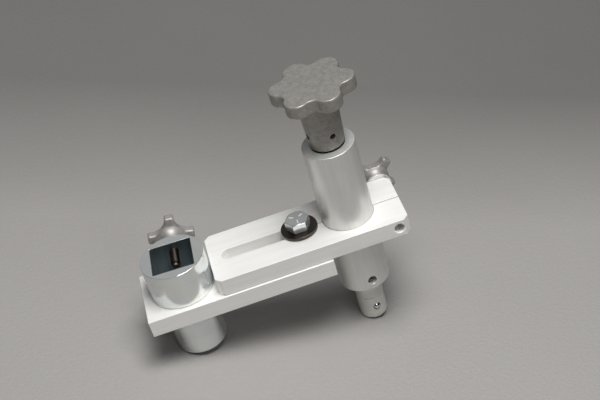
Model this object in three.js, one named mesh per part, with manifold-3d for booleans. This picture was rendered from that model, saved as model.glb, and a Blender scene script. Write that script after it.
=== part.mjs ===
// Adjustable offset clamp arm. A lower bar carries a square socket with a thumb screw. A slotted
// upper bar slides and swings under a hex bolt, and its split end clamps an upright column tube.
// A spindle with a lobed knob turns in the tube and ends in a ball detent.
// Millimetres, +Z up. The origin is on the socket's axis, on the underside of the lower bar.
import * as THREE from "three";
import { mergeVertices } from "three/addons/utils/BufferGeometryUtils.js";
import Module from "manifold-3d";

const wasm = await Module();
wasm.setup();

// ---------------------------------------------------------------- driving dimensions
const INCH = 25.4;
const GAP = 0.3; // clearance between pieces that touch
const ROUND = 48; // facets round a large cylinder
const TRIM_ROUND = 36; // facets round a bush, a washer or a hub
const SMALL_ROUND = 20; // facets round a screw or a small hole
const PAST = 2; // how far a cutting tool reaches past the face it cuts
const OVERLAP = 0.2; // how far a bevelling tool starts inside the hole it widens
const WELD = 1.0; // how far two joined solids run into each other
const MERGE = 1e-4; // vertices closer than this are one
const ARC_STEPS = { plain: 8, knob: 7, grip: 5 }; // straight steps in an outline's arcs

const BAR = { width: 2 * INCH, thick: 0.5 * INCH };
const LOWER = { left: -28.3, right: 101.7 };
const UPPER = { left: 22.8, right: 157.7, side: 1.3, lift: 0.6, chamfer: 3.6 };

const SOCKET = { radius: 22.1, height: 27.8, square: 28.6, floor: 2.4, bevel: 0.8, turned: -2.5 };
const SOCKET_EDGE = { foot: 0.4, recess: 0.6 };
const SPIGOT = { radius: 17.8, drop: 35.0, bevel: 1.2 };
const SET_SCREW = { radius: 2.5, length: 8.2, hex: 1.35 };
const HEX = { depth: 0.45, bevel: 0.3 }; // a set screw's hex socket, as a share of its length

const THREAD_R = 3.175; // both thumb screws
const THREAD_BEVEL = 0.6;
const SOCKET_SCREW = { side: 1.0, height: 32.4, seat: 22.6, end: 0.6, turned: 10 };
const TIP = { radius: 2.3, length: 2.4, bevel: 0.5, stem: 1.0, stemLength: 2.6 };
const CLAMP_SCREW = { x: 150.1, end: -13.5, turned: 45, sink: 0.6 };
const CLAMP_WASHER = { radius: 9.3, thick: 1.6 };

const BOLT = { x: 87.2, radius: 0.1875 * INCH, flats: 15.0, head: 7.2, length: INCH, bevel: 0.8 };
const BOLT_CROWN = { drop: 2.1, inset: 0.3 }; // how the head's corners are turned down
const DASH = { from: 2.2, to: 5.4, halfWidth: 0.4, sunk: 0.5, proud: 0.3, first: 30, count: 3 };
const BOLT_WASHER = { radius: 0.5 * INCH, thick: 2.4 };
const SLOT = { left: 31.6, halfWidth: 5.2 };
const SLIT = 1.0; // width of the saw cut that splits the clamping end

const COLUMN = { x: 121.4, radius: 17.8, bore: 11.3, bottom: -30.5, top: 86.7, bevel: 0.7, mouth: 0.4 };
const COLUMN_HOLE = { z: -23.2, azimuth: -81, radius: 3.25, sink: 0.7 };
const BUSH_SCREW = { length: 3.6, hex: 1.5 };
const BUSH = { inner: 10.05, outer: 11.0, length: 25.0, topRecess: 1.2, bottomRecess: 3.5 };
const THRUST = { inner: 6.65, outer: 11.0, thick: 1.5 };
const RING = { inner: 9.2, outer: 10.9, thick: 1.0, mouth: 4.0 };

const SPINDLE = { radius: 9.75, bottom: -65.1, bevel: 1.4, groove: 8.9 };
const STUB = { radius: 6.35, top: 113.0, bevel: 0.6 }; // the spindle's reduced top
const BALL = { radius: 2.5, z: -54.7, azimuth: -79, proud: 1.2, holeEnd: -2.0, rings: 12 };
const SPRING = { radius: 1.8, wire: 0.32, turns: 5, steps: 9, sides: 5 };

const KNOB = { top: 134.8, thick: 9.4, tipCentre: 19.4, tipRadius: 8.6, valley: 21.4, lobes: 6 };
const KNOB_EDGE = 0.9; // rounding of the plate's rims
const KNOB_PHASE = -11.5; // direction of one lobe
const HUB = { bottomRadius: 11.8, topRadius: 13.9, bevel: 0.7, fillet: 1.5, boreTop: 113.3 };
const HUB_SCREW = { z: 98.0, azimuths: [-75, -165], radius: 1.8, length: 2.9, hex: 0.9 };

const GRIP = { tip: 16.2, corner: 1.3, halfWidth: 2.1, flare: 6, waist: 8.2 };
const GRIP_Z = { hubRadius: 6.2, neckRadius: 7.3, plateFrom: 7.4, thick: 6.4, edge: 1.2, dome: 1.8 };
const GRIP_HUB = { bevel: 0.6, bored: 0.7, facets: 24 }; // bored: the screw's share of the plate
const GRIP_DOME = [[1.2, 0.6], [3.4, 0.95]]; // inset from the neck's edge, share of the dome

const BAR_TOP = BAR.thick;
const ARM_BASE = BAR_TOP + UPPER.lift;
const ARM_TOP = ARM_BASE + BAR.thick;
const rad = THREE.MathUtils.degToRad;

// ---------------------------------------------------------------- solids
/** A closed three.js geometry as a manifold solid. */
function solid(geometry) {
  const bare = geometry.clone();
  bare.deleteAttribute("normal");
  bare.deleteAttribute("uv");
  const merged = mergeVertices(bare, MERGE);
  const vertProperties = new Float32Array(merged.attributes.position.array);
  const triVerts = new Uint32Array(merged.index.array);
  return new wasm.Manifold(new wasm.Mesh({ numProp: 3, vertProperties, triVerts }));
}

/** A manifold solid as a three.js geometry. */
function geometryOf(made) {
  const mesh = made.getMesh();
  const geometry = new THREE.BufferGeometry();
  geometry.setAttribute("position", new THREE.BufferAttribute(mesh.vertProperties, 3));
  geometry.setIndex(new THREE.BufferAttribute(mesh.triVerts, 1));
  geometry.computeVertexNormals();
  return geometry;
}

/** The base geometry with every tool geometry cut out of it. */
function cut(base, ...tools) {
  return geometryOf(tools.reduce((made, tool) => made.subtract(solid(tool)), solid(base)));
}

/** Several overlapping geometries as one. */
function join(first, ...rest) {
  return geometryOf(rest.reduce((made, next) => made.add(solid(next)), solid(first)));
}

/** A solid of revolution about Z. Its profile is [radius, z] pairs, with the solid on the left. */
function turned(profile, facets = ROUND) {
  const points = profile.map(([r, z]) => new THREE.Vector2(r, z));
  return new THREE.LatheGeometry(points, facets).rotateX(Math.PI / 2);
}

/** A plain round bar along Z. */
function rod(radius, from, to, facets = SMALL_ROUND) {
  return turned([[0, from], [radius, from], [radius, to], [0, to]], facets);
}

/** A round bar along Z with both rims bevelled. */
function bevelledRod(radius, from, to, bevel, facets = SMALL_ROUND) {
  const rim = radius - bevel;
  const low = [[0, from], [rim, from], [radius, from + bevel]];
  return turned([...low, [radius, to - bevel], [rim, to], [0, to]], facets);
}

/** A ring along Z, closed on itself. */
function ring(inner, outer, from, to, facets = ROUND) {
  return turned([[inner, from], [outer, from], [outer, to], [inner, to], [inner, from]], facets);
}

/** A box between two corners. */
function block([x0, y0, z0], [x1, y1, z1]) {
  const box = new THREE.BoxGeometry(x1 - x0, y1 - y0, z1 - z0);
  return box.translate((x0 + x1) / 2, (y0 + y1) / 2, (z0 + z1) / 2);
}

/** A flat outline raised along Z from one height to another, with optional bevelled rims. */
function plate(shape, from, to, edge = 0, curveSegments = ARC_STEPS.plain) {
  const options = {
    depth: to - from - 2 * edge, curveSegments, bevelEnabled: edge > 0,
    bevelThickness: edge, bevelSize: edge, bevelOffset: -edge, bevelSegments: 1,
  };
  return new THREE.ExtrudeGeometry(shape, options).translate(0, 0, from + edge);
}

/** Equal turns around a circle, in radians. */
const around = (count) => Array.from({ length: count }, (_, i) => (2 * Math.PI * i) / count);

/** Turns something built along Z to point along +Y. */
const alongY = (geometry) => geometry.rotateX(-Math.PI / 2);

/** Turns something built along Z to point outwards from the Z axis at an azimuth and height. */
function radial(geometry, azimuth, z) {
  return geometry.rotateY(Math.PI / 2).rotateZ(rad(azimuth)).translate(0, 0, z);
}

/** A square tool that widens upwards at 45 degrees, from a half width at its foot. */
function squareFlare(half, from, to) {
  const wide = half + to - from;
  const tool = new THREE.CylinderGeometry(wide * Math.SQRT2, half * Math.SQRT2, to - from, 4);
  return tool.rotateY(Math.PI / 4).rotateX(Math.PI / 2).translate(0, 0, (from + to) / 2);
}

/** A 45 degree countersink tool along Z, for a hole whose mouth faces up at a height. */
function countersink(hole, bevel, mouth) {
  const foot = mouth - bevel - OVERLAP;
  const wide = hole + bevel + OVERLAP;
  return turned([
    [0, foot], [hole - OVERLAP, foot], [wide, mouth + OVERLAP], [wide, mouth + PAST],
    [0, mouth + PAST],
  ], SMALL_ROUND);
}

/** A set screw along Z with its hex socket in the far end. */
function setScrew(radius, from, to, hex) {
  const socket = rod(hex, to - (to - from) * HEX.depth, to + PAST, 6);
  return cut(bevelledRod(radius, from, to, HEX.bevel), socket);
}

// ---------------------------------------------------------------- outlines
/** A round-lobed outline: tip circles joined by valley arcs that touch both neighbours. */
function lobedOutline({ tipCentre: a, tipRadius: b, valley: v, lobes }, phase) {
  const half = Math.PI / lobes;
  const c = (a * a + v * v - 2 * a * v * Math.cos(half) - b * b) /
    (2 * (b - v + a * Math.cos(half)));
  const d = v + c; // distance of a valley circle's centre
  const lean = Math.atan2(d * Math.sin(half), d * Math.cos(half) - a);
  const shape = new THREE.Shape();
  for (let i = 0; i < lobes; i++) {
    const out = phase + 2 * half * i;
    const between = out + half;
    const [x, y] = [a * Math.cos(out), a * Math.sin(out)];
    shape.absarc(x, y, b, out - lean, out + lean, false);
    const [vx, vy] = [d * Math.cos(between), d * Math.sin(between)];
    const start = out + lean - Math.PI;
    shape.absarc(vx, vy, c, start, 2 * between - start - 2 * Math.PI, true);
  }
  return shape;
}

/** A cross-shaped grip: four flared, square-ended lobes joined by hollow arcs. */
function gripOutline() {
  const flare = rad(GRIP.flare);
  const [sin, cos] = [Math.sin(flare), Math.cos(flare)];
  const cornerX = GRIP.tip - GRIP.corner;
  const reach = GRIP.waist + cornerX * sin - GRIP.halfWidth * cos - GRIP.corner;
  const e = reach / (Math.SQRT2 + sin - cos);
  const hollow = e * Math.SQRT2 - GRIP.waist;
  const quarter = Math.PI / 2;
  const shape = new THREE.Shape();
  for (let i = 0; i < 4; i++) {
    const out = i * quarter;
    const at = (x, y) => new THREE.Vector2(x, y).rotateAround(new THREE.Vector2(), out);
    const [low, high, mid] = [at(cornerX, -GRIP.halfWidth), at(cornerX, GRIP.halfWidth), at(e, e)];
    shape.absarc(low.x, low.y, GRIP.corner, out - quarter - flare, out, false);
    shape.absarc(high.x, high.y, GRIP.corner, out, out + quarter + flare, false);
    const start = out - quarter + flare;
    shape.absarc(mid.x, mid.y, hollow, start, out - Math.PI - flare, true);
  }
  return shape;
}

/** A bar's outline with its four corners cut at 45 degrees. */
function barOutline(left, right, halfWidth, chamfer) {
  const [l, r, h, c] = [left, right, halfWidth, chamfer];
  const corners = [[l + c, -h], [r - c, -h], [r, -h + c], [r, h - c]];
  corners.push([r - c, h], [l + c, h], [l, h - c], [l, -h + c]);
  return new THREE.Shape(corners.map(([x, y]) => new THREE.Vector2(x, y)));
}

// ---------------------------------------------------------------- materials
const finish = (color, roughness, metalness) =>
  new THREE.MeshStandardMaterial({ color, roughness, metalness });
const FINISH = {
  brushed: () => finish(0xd9d9d6, 0.38, 0.9),
  satin: () => finish(0xa9abab, 0.45, 0.85),
  zinc: () => finish(0xb4bcbc, 0.3, 0.95),
  cast: () => finish(0x96938f, 0.5, 0.8),
  polishedCast: () => finish(0xa8a29c, 0.35, 0.9),
  ground: () => finish(0x8c9189, 0.35, 0.9),
  blackened: () => finish(0x35302c, 0.5, 0.8),
  bright: () => finish(0xd0d0cc, 0.2, 1.0),
  bronze: () => finish(0x9a7b4a, 0.45, 0.9),
  nylon: () => finish(0x24221f, 0.6, 0.0),
};

/** A named piece. */
function piece(name, geometry, material) {
  const mesh = new THREE.Mesh(geometry, material);
  mesh.name = name;
  return mesh;
}

/** A group of pieces at a place. */
function placed(x, y, z, ...children) {
  const group = new THREE.Group();
  group.position.set(x, y, z);
  group.add(...children);
  return group;
}

// ---------------------------------------------------------------- lower bar and socket
/** The square-ended lower bar, with the spigot's bore, the tapped bolt hole and a set-screw hole. */
function lowerBar() {
  const h = BAR.width / 2;
  const body = block([LOWER.left, -h, 0], [LOWER.right, h, BAR_TOP]);
  const bore = rod(SPIGOT.radius + GAP, -PAST, BAR_TOP + PAST, ROUND);
  const tapped = rod(BOLT.radius + GAP, -PAST, BAR_TOP + PAST).translate(BOLT.x, UPPER.side, 0);
  const set = rod(SET_SCREW.radius + GAP, SPIGOT.radius - PAST, -LOWER.left + PAST);
  return cut(body, bore, tapped, radial(set, 180, BAR_TOP / 2));
}

/** The socket: a round boss with a blind square recess above a smaller spigot. */
function socket() {
  const seat = BAR_TOP + GAP;
  const top = BAR_TOP + SOCKET.height;
  const s = SOCKET.square / 2;
  const body = turned([
    [0, -SPIGOT.drop], [SPIGOT.radius - SPIGOT.bevel, -SPIGOT.drop],
    [SPIGOT.radius, -SPIGOT.drop + SPIGOT.bevel], [SPIGOT.radius, seat],
    [SOCKET.radius - SOCKET_EDGE.foot, seat], [SOCKET.radius, seat + SOCKET_EDGE.foot],
    [SOCKET.radius, top - SOCKET.bevel], [SOCKET.radius - SOCKET.bevel, top], [0, top],
  ]);
  const recess = block([-s, -s, seat + SOCKET.floor], [s, s, top + PAST]);
  const rim = squareFlare(s - OVERLAP, top - SOCKET_EDGE.recess - OVERLAP, top + PAST);
  const tapped = alongY(rod(THREAD_R + GAP, s - PAST, SOCKET.radius + PAST));
  return cut(body, recess, rim, tapped.translate(SOCKET_SCREW.side, 0, SOCKET_SCREW.height));
}

/** The set screw in the bar's end that locks the spigot. */
function socketSetScrew() {
  const from = SPIGOT.radius + GAP;
  const screw = setScrew(SET_SCREW.radius, from, from + SET_SCREW.length, SET_SCREW.hex);
  return radial(screw, 180, BAR_TOP / 2);
}

// ---------------------------------------------------------------- thumb screws
/** A cast cross grip, built along Z from its hub's face at 0. */
function grip() {
  const { hubRadius, neckRadius, plateFrom, thick, edge, dome } = GRIP_Z;
  const far = plateFrom + thick;
  const { bevel, bored, facets } = GRIP_HUB;
  const lobes = plate(gripOutline(), plateFrom, far, edge, ARC_STEPS.grip);
  const crown = GRIP_DOME.map(([inset, share]) => [neckRadius - inset, far + dome * share]);
  const hub = turned([
    [0, 0], [hubRadius - bevel, 0], [hubRadius, bevel], [neckRadius, plateFrom], [neckRadius, far],
    ...crown, [0, far + dome],
  ], facets);
  return cut(join(lobes, hub), rod(THREAD_R + GAP, -PAST, plateFrom + thick * bored));
}

/** How far a thumb screw's rod reaches into a grip whose hub's face is at a height. */
const gripReach = (seat) => seat + GRIP_Z.plateFrom + GRIP_Z.thick * GRIP_HUB.bored - GAP;

/** A thumb screw's threaded rod along Z, with an optional bore in its end for a swivel tip. */
function threadedRod(from, to, bored) {
  const body = bevelledRod(THREAD_R, from, to, THREAD_BEVEL);
  return bored ? cut(body, rod(TIP.stem + GAP, from - PAST, from + TIP.stemLength + GAP)) : body;
}

/** The swivel tip: a small pad with a stem in the screw's end. */
function swivelTip(screwEnd) {
  const { radius, length, bevel, stem, stemLength } = TIP;
  const top = screwEnd - GAP;
  const end = top - length;
  return turned([
    [0, end], [radius - bevel, end], [radius, end + bevel], [radius, top],
    [stem, top], [stem, top + stemLength], [0, top + stemLength],
  ], SMALL_ROUND);
}

/** The socket's thumb screw, pointing along +Y. */
function socketThumbScrew() {
  const rodPiece = threadedRod(SOCKET_SCREW.end, gripReach(SOCKET_SCREW.seat), true);
  const knob = piece("socket_knob", grip(), FINISH.polishedCast());
  knob.position.z = SOCKET_SCREW.seat;
  knob.rotation.z = rad(SOCKET_SCREW.turned);
  const group = placed(SOCKET_SCREW.side, 0, SOCKET_SCREW.height,
    piece("socket_screw_tip", swivelTip(SOCKET_SCREW.end), FINISH.bronze()),
    piece("socket_screw", rodPiece, FINISH.blackened()), knob);
  group.rotation.x = -Math.PI / 2;
  return group;
}

/** The clamp's thumb screw and its washer, pointing along +Y from the upper bar's centre line. */
function clampThumbScrew() {
  const face = BAR.width / 2 + GAP;
  const seat = face + CLAMP_WASHER.thick + GAP;
  const { radius, thick } = CLAMP_WASHER;
  const washer = ring(THREAD_R + GAP, radius, face, face + thick, TRIM_ROUND);
  const knob = piece("clamp_knob", grip(), FINISH.polishedCast());
  knob.position.z = seat;
  knob.rotation.z = rad(CLAMP_SCREW.turned);
  const group = placed(CLAMP_SCREW.x, 0, BAR.thick / 2,
    piece("clamp_washer", washer, FINISH.bright()),
    piece("clamp_screw", threadedRod(CLAMP_SCREW.end, gripReach(seat), false), FINISH.bright()), knob);
  group.rotation.x = -Math.PI / 2;
  return group;
}

// ---------------------------------------------------------------- pivot
/** The hex bolt, with bevelled corners and three raised radial bars on its head. */
function pivotBolt() {
  const seat = ARM_TOP + GAP + BOLT_WASHER.thick + GAP;
  const top = seat + BOLT.head;
  const corner = BOLT.flats / Math.sqrt(3);
  const hexagon = new THREE.Shape(around(6).map((turn) =>
    new THREE.Vector2(corner, 0).rotateAround(new THREE.Vector2(), turn)));
  const crown = turned([
    [0, seat - PAST], [corner + PAST, seat - PAST], [corner + PAST, top - BOLT_CROWN.drop],
    [BOLT.flats / 2 - BOLT_CROWN.inset, top], [0, top],
  ], TRIM_ROUND);
  const head = geometryOf(solid(plate(hexagon, seat, top)).intersect(solid(crown)));
  const shank = bevelledRod(BOLT.radius, seat - BOLT.length, seat + WELD, BOLT.bevel);
  const dash = (turn) =>
    block([DASH.from, -DASH.halfWidth, top - DASH.sunk], [DASH.to, DASH.halfWidth, top + DASH.proud])
      .rotateZ(turn + rad(DASH.first));
  return join(head, shank, ...around(DASH.count).map(dash));
}

/** The plain washer under the bolt's head. */
function pivotWasher() {
  const from = ARM_TOP + GAP;
  return ring(BOLT.radius + GAP, BOLT_WASHER.radius, from, from + BOLT_WASHER.thick, TRIM_ROUND);
}

// ---------------------------------------------------------------- upper bar
/** The slotted upper bar with its split clamping end, its underside at z = 0. */
function upperBar() {
  const h = BAR.width / 2;
  const [below, above] = [-PAST, BAR.thick + PAST];
  const body = plate(barOutline(UPPER.left, UPPER.right, h, UPPER.chamfer), 0, BAR.thick);
  const slot = new THREE.Shape();
  slot.absarc(SLOT.left + SLOT.halfWidth, 0, SLOT.halfWidth, Math.PI / 2, 1.5 * Math.PI, false);
  slot.absarc(BOLT.x, 0, SLOT.halfWidth, -Math.PI / 2, Math.PI / 2, false);
  const slit = block([BOLT.x, -SLIT / 2, below], [UPPER.right + PAST, SLIT / 2, above]);
  const bore = rod(COLUMN.radius + GAP, below, above, ROUND).translate(COLUMN.x, 0, 0);
  const screwHole = alongY(rod(THREAD_R + GAP, -h - PAST, h + PAST));
  const sink = countersink(THREAD_R + GAP, CLAMP_SCREW.sink, h).rotateX(Math.PI / 2);
  const across = (tool) => tool.translate(CLAMP_SCREW.x, 0, BAR.thick / 2);
  return cut(body, plate(slot, below, above), slit, bore, across(screwHole), across(sink));
}

// ---------------------------------------------------------------- column and spindle
/** The column tube, with bevelled rims and a tapped hole in its wall. */
function columnTube() {
  const { radius: r, bore, bottom, top, bevel: b, mouth: m } = COLUMN;
  const wall = turned([
    [bore, bottom + m], [bore + m, bottom], [r - b, bottom], [r, bottom + b],
    [r, top - b], [r - b, top], [bore + m, top], [bore, top - m], [bore, bottom + m],
  ]);
  const { radius, azimuth, z, sink } = COLUMN_HOLE;
  const hole = radial(rod(radius, bore - PAST, r + PAST), azimuth, z);
  return cut(wall, hole, radial(countersink(radius, sink, r), azimuth, z));
}

/** The set screw in the column's wall, which bears on the lower bush. */
function bushScrew() {
  const from = BUSH.outer + GAP;
  const to = from + BUSH_SCREW.length;
  const screw = setScrew(COLUMN_HOLE.radius - GAP, from, to, BUSH_SCREW.hex);
  return radial(screw, COLUMN_HOLE.azimuth, COLUMN_HOLE.z);
}

/** The spindle: a ground bar with a reduced top, a ring groove and a radial pocket for the ball. */
function spindle() {
  const shoulder = COLUMN.top - BUSH.topRecess;
  const grooveFrom = COLUMN.bottom + BUSH.bottomRecess - GAP - RING.thick - GAP;
  const grooveTo = grooveFrom + RING.thick + 2 * GAP;
  const { radius: r, bottom, bevel, groove } = SPINDLE;
  const body = turned([
    [0, bottom], [r - bevel, bottom], [r, bottom + bevel], [r, grooveFrom], [groove, grooveFrom],
    [groove, grooveTo], [r, grooveTo], [r, shoulder], [STUB.radius, shoulder],
    [STUB.radius, STUB.top - STUB.bevel], [STUB.radius - STUB.bevel, STUB.top], [0, STUB.top],
  ], TRIM_ROUND);
  const pocket = rod(BALL.radius + GAP, BALL.holeEnd, r + PAST);
  return cut(body, radial(pocket, BALL.azimuth, BALL.z));
}

/** The open retaining ring in the spindle's groove, inside the column's lower mouth. */
function retainingRing() {
  const to = COLUMN.bottom + BUSH.bottomRecess - GAP;
  const whole = ring(RING.inner, RING.outer, to - RING.thick, to, TRIM_ROUND);
  const half = RING.mouth / 2;
  const mouth = block([RING.inner - PAST, -half, to - PAST], [RING.outer + PAST, half, to + PAST]);
  return cut(whole, mouth);
}

/** The spindle's knob: a six-lobed plate and a tapered hub, one casting. */
function spindleKnob() {
  const under = KNOB.top - KNOB.thick;
  const outline = lobedOutline(KNOB, rad(KNOB_PHASE));
  const bottom = COLUMN.top - BUSH.topRecess + GAP + THRUST.thick + GAP;
  const hub = turned([
    [0, bottom], [HUB.bottomRadius - HUB.bevel, bottom], [HUB.bottomRadius, bottom + HUB.bevel],
    [HUB.topRadius, under - HUB.fillet], [HUB.topRadius + HUB.fillet, under + WELD],
    [0, under + WELD],
  ], TRIM_ROUND);
  const bore = rod(STUB.radius + GAP, bottom - PAST, HUB.boreTop, TRIM_ROUND);
  const hole = () => rod(HUB_SCREW.radius + GAP, STUB.radius - PAST, HUB.topRadius + PAST);
  const holes = HUB_SCREW.azimuths.map((azimuth) => radial(hole(), azimuth, HUB_SCREW.z));
  const lobes = plate(outline, under, KNOB.top, KNOB_EDGE, ARC_STEPS.knob);
  return cut(join(lobes, hub), bore, ...holes);
}

/** One of the hub's set screws. */
function hubScrew(azimuth) {
  const from = STUB.radius + GAP;
  const screw = setScrew(HUB_SCREW.radius, from, from + HUB_SCREW.length, HUB_SCREW.hex);
  return radial(screw, azimuth, HUB_SCREW.z);
}

/** The detent ball, proud of the spindle's wall. */
function detentBall() {
  const centre = SPINDLE.radius + BALL.proud - BALL.radius;
  const ball = new THREE.SphereGeometry(BALL.radius, SMALL_ROUND, BALL.rings);
  return radial(ball.translate(0, 0, centre), BALL.azimuth, BALL.z);
}

/** The coil spring behind the ball. */
function detentSpring() {
  const from = BALL.holeEnd + GAP + SPRING.wire;
  const to = SPINDLE.radius + BALL.proud - 2 * BALL.radius - GAP - SPRING.wire;
  class Helix extends THREE.Curve {
    getPoint(t) {
      const turn = 2 * Math.PI * SPRING.turns * t;
      const [x, y] = [SPRING.radius * Math.cos(turn), SPRING.radius * Math.sin(turn)];
      return new THREE.Vector3(x, y, from + (to - from) * t);
    }
  }
  const wire = new THREE.Shape();
  wire.absarc(0, 0, SPRING.wire, 0, 2 * Math.PI, false);
  const options = {
    steps: SPRING.steps * SPRING.turns, curveSegments: SPRING.sides,
    extrudePath: new Helix(), bevelEnabled: false,
  };
  return radial(new THREE.ExtrudeGeometry(wire, options), BALL.azimuth, BALL.z);
}

/** The column with its bushes, spindle and knob, on its own axis, at the part's heights. */
function column() {
  const { inner, outer, length, topRecess, bottomRecess } = BUSH;
  const bushTop = COLUMN.top - topRecess;
  const bushBottom = COLUMN.bottom + bottomRecess;
  const thrustFrom = bushTop + GAP;
  const thrustTo = thrustFrom + THRUST.thick;
  const bush = (from) => ring(inner, outer, from, from + length, TRIM_ROUND);
  const thrust = ring(THRUST.inner, THRUST.outer, thrustFrom, thrustTo, TRIM_ROUND);
  const screws = HUB_SCREW.azimuths.map((azimuth, i) =>
    piece(`hub_screw_${i + 1}`, hubScrew(azimuth), FINISH.blackened()));
  return [
    piece("column_tube", columnTube(), FINISH.satin()),
    piece("upper_bush", bush(bushTop - length), FINISH.bronze()),
    piece("lower_bush", bush(bushBottom), FINISH.bronze()),
    piece("bush_screw", bushScrew(), FINISH.bright()),
    piece("thrust_washer", thrust, FINISH.nylon()),
    piece("spindle", spindle(), FINISH.ground()),
    piece("retaining_ring", retainingRing(), FINISH.blackened()),
    piece("spindle_knob", spindleKnob(), FINISH.cast()),
    ...screws,
    piece("detent_ball", detentBall(), FINISH.bright()),
    piece("detent_spring", detentSpring(), FINISH.bright()),
  ];
}

// ---------------------------------------------------------------- assembly
const socketGroup = placed(0, 0, 0, piece("socket", socket(), FINISH.zinc()), socketThumbScrew());
socketGroup.rotation.z = rad(SOCKET.turned);

const base = placed(0, 0, 0,
  piece("lower_bar", lowerBar(), FINISH.brushed()), socketGroup,
  piece("socket_set_screw", socketSetScrew(), FINISH.blackened()));

const pivot = placed(BOLT.x, UPPER.side, 0,
  piece("pivot_bolt", pivotBolt(), FINISH.zinc()),
  piece("pivot_washer", pivotWasher(), FINISH.blackened()));

const arm = placed(0, UPPER.side, ARM_BASE,
  piece("upper_bar", upperBar(), FINISH.brushed()),
  clampThumbScrew());

const offsetClampArm = new THREE.Group();
offsetClampArm.add(base, pivot, arm, placed(COLUMN.x, UPPER.side, 0, ...column()));

export default offsetClampArm;
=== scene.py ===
"""Looks for an adjustable offset clamp arm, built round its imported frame.

Pieces are modelled in millimetres in the frame's own axes and scaled to metres when they are
done. +X runs along the bars from the socket to the column, +Y away from the front, +Z up.
"""

import logging
import math
from dataclasses import dataclass
from enum import Enum
from functools import cache
from typing import Callable, Sequence

import bmesh
import bpy
from bmesh.types import BMEdge
from bpy.types import Material, MeshPolygon, Node, NodeSocket, NodeTree, Object
from mathutils import Matrix, Vector


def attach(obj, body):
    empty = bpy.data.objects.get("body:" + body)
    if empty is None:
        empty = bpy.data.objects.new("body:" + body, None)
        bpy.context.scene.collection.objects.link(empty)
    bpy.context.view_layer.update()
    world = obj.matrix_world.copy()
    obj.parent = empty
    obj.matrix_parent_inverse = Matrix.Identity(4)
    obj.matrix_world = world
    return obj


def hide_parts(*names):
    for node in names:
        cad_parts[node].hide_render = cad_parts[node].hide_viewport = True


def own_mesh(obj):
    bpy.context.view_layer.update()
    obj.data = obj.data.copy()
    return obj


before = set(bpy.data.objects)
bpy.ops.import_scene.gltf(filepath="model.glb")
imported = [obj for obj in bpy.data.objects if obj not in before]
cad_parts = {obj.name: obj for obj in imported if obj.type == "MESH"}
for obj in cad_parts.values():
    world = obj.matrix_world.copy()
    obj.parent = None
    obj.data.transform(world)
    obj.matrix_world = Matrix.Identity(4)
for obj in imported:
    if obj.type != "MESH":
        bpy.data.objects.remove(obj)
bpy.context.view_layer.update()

LOG = logging.getLogger("offset_clamp_arm")
MM = 0.001  # a millimetre in metres
INCH = 25.4
FINE_FACETS = 128  # round the boss and the tube
FACETS = 96  # round other large turned surfaces
SMALL_FACETS = 40  # round small ones and drilled holes
TOOL_PAST = 2.0  # how far a tool reaches past what it cuts
WELD = 0.001  # points closer than this are merged
EDGE_BREAK = 0.24  # on the bars' machined edges
THREAD_DEPTH = 0.54  # of the pitch
THREAD_STEPS = 36  # in each turn of a thread
SPRING_STEPS = 28  # in each turn of the spring
Colour = tuple[float, float, float]
Point = tuple[float, float]
Ring = tuple[float, float, float, float]
EdgeTest = Callable[[BMEdge], bool]
Patch = tuple["Finish", Callable[[MeshPolygon], bool]]


class Body(Enum):
    """The bodies of the frame that pieces ride on."""

    BASE = "base"
    SOCKET_FEED = "socket_screw_feed"
    SOCKET_SCREW = "socket_thumb_screw"
    BOLT = "bolt"
    PIVOT = "pivot"
    ARM = "arm"
    CLAMP_FEED = "clamp_screw_feed"
    CLAMP_SCREW = "clamp_thumb_screw"
    COLUMN = "column"
    SPINDLE = "spindle_assembly"
    BALL = "ball"


class Lay(Enum):
    """Which way a finish's fine lines run, as how quickly they change along X, Y and Z."""

    LENGTHWISE = (0.02, 1.0, 1.0)
    UPRIGHT = (1.0, 1.0, 0.03)
    TURNED = (0.03, 0.03, 1.0)
    EVEN = (1.0, 1.0, 1.0)


# ---- placing
def about(axis: str, degrees: float) -> Matrix:
    """A turn about an axis through the origin."""
    return Matrix.Rotation(math.radians(degrees), 4, axis)


def along_y(x: float, y: float, z: float, yaw: float = 0.0) -> Matrix:
    """Where a shape built along Z goes so that it points along +Y, turned by a yaw in degrees."""
    return about("Z", yaw) @ Matrix.Translation((x, y, z)) @ about("X", -90)


def only(obj: Object) -> None:
    """Selects one object alone and makes it active.

    Args:
        obj: the object.
    """
    bpy.ops.object.select_all(action="DESELECT")
    obj.select_set(True)
    bpy.context.view_layer.objects.active = obj


def applied(name: str) -> Object:
    """Names the object that a primitive operator has just added and applies its place.

    Args:
        name: the object's name.

    Returns:
        The object.
    """
    obj = bpy.context.object
    obj.name = name
    bpy.ops.object.transform_apply(location=True, rotation=True, scale=True)
    return obj


def move(obj: Object, place: Matrix) -> Object:
    """Places an object and applies its place to its mesh.

    Args:
        obj: the object.
        place: where it goes.

    Returns:
        The object.
    """
    only(obj)
    obj.matrix_world = place
    bpy.ops.object.transform_apply(location=True, rotation=True, scale=True)
    return obj


def shift(obj: Object, x: float, y: float, z: float = 0.0) -> Object:
    """Moves an object's mesh."""
    return move(obj, Matrix.Translation((x, y, z)))


def radial(obj: Object, azimuth: float, z: float) -> Object:
    """Turns a shape built along Z to point outwards from the Z axis at an azimuth in degrees."""
    return move(obj, Matrix.Translation((0, 0, z)) @ about("Z", azimuth) @ about("Y", 90))


def arc(centre: Point, radius: float, start: float, end: float, steps: int) -> list[Point]:
    """Points along an arc, with both of its ends.

    Args:
        centre: the arc's centre.
        radius: its radius.
        start: the angle that it starts at, in radians.
        end: the angle that it ends at, in radians.
        steps: how many straight steps it takes.

    Returns:
        The points in order.
    """
    x, y = centre
    angles = [start + (end - start) * i / steps for i in range(steps + 1)]
    return [(x + radius * math.cos(a), y + radius * math.sin(a)) for a in angles]


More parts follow.
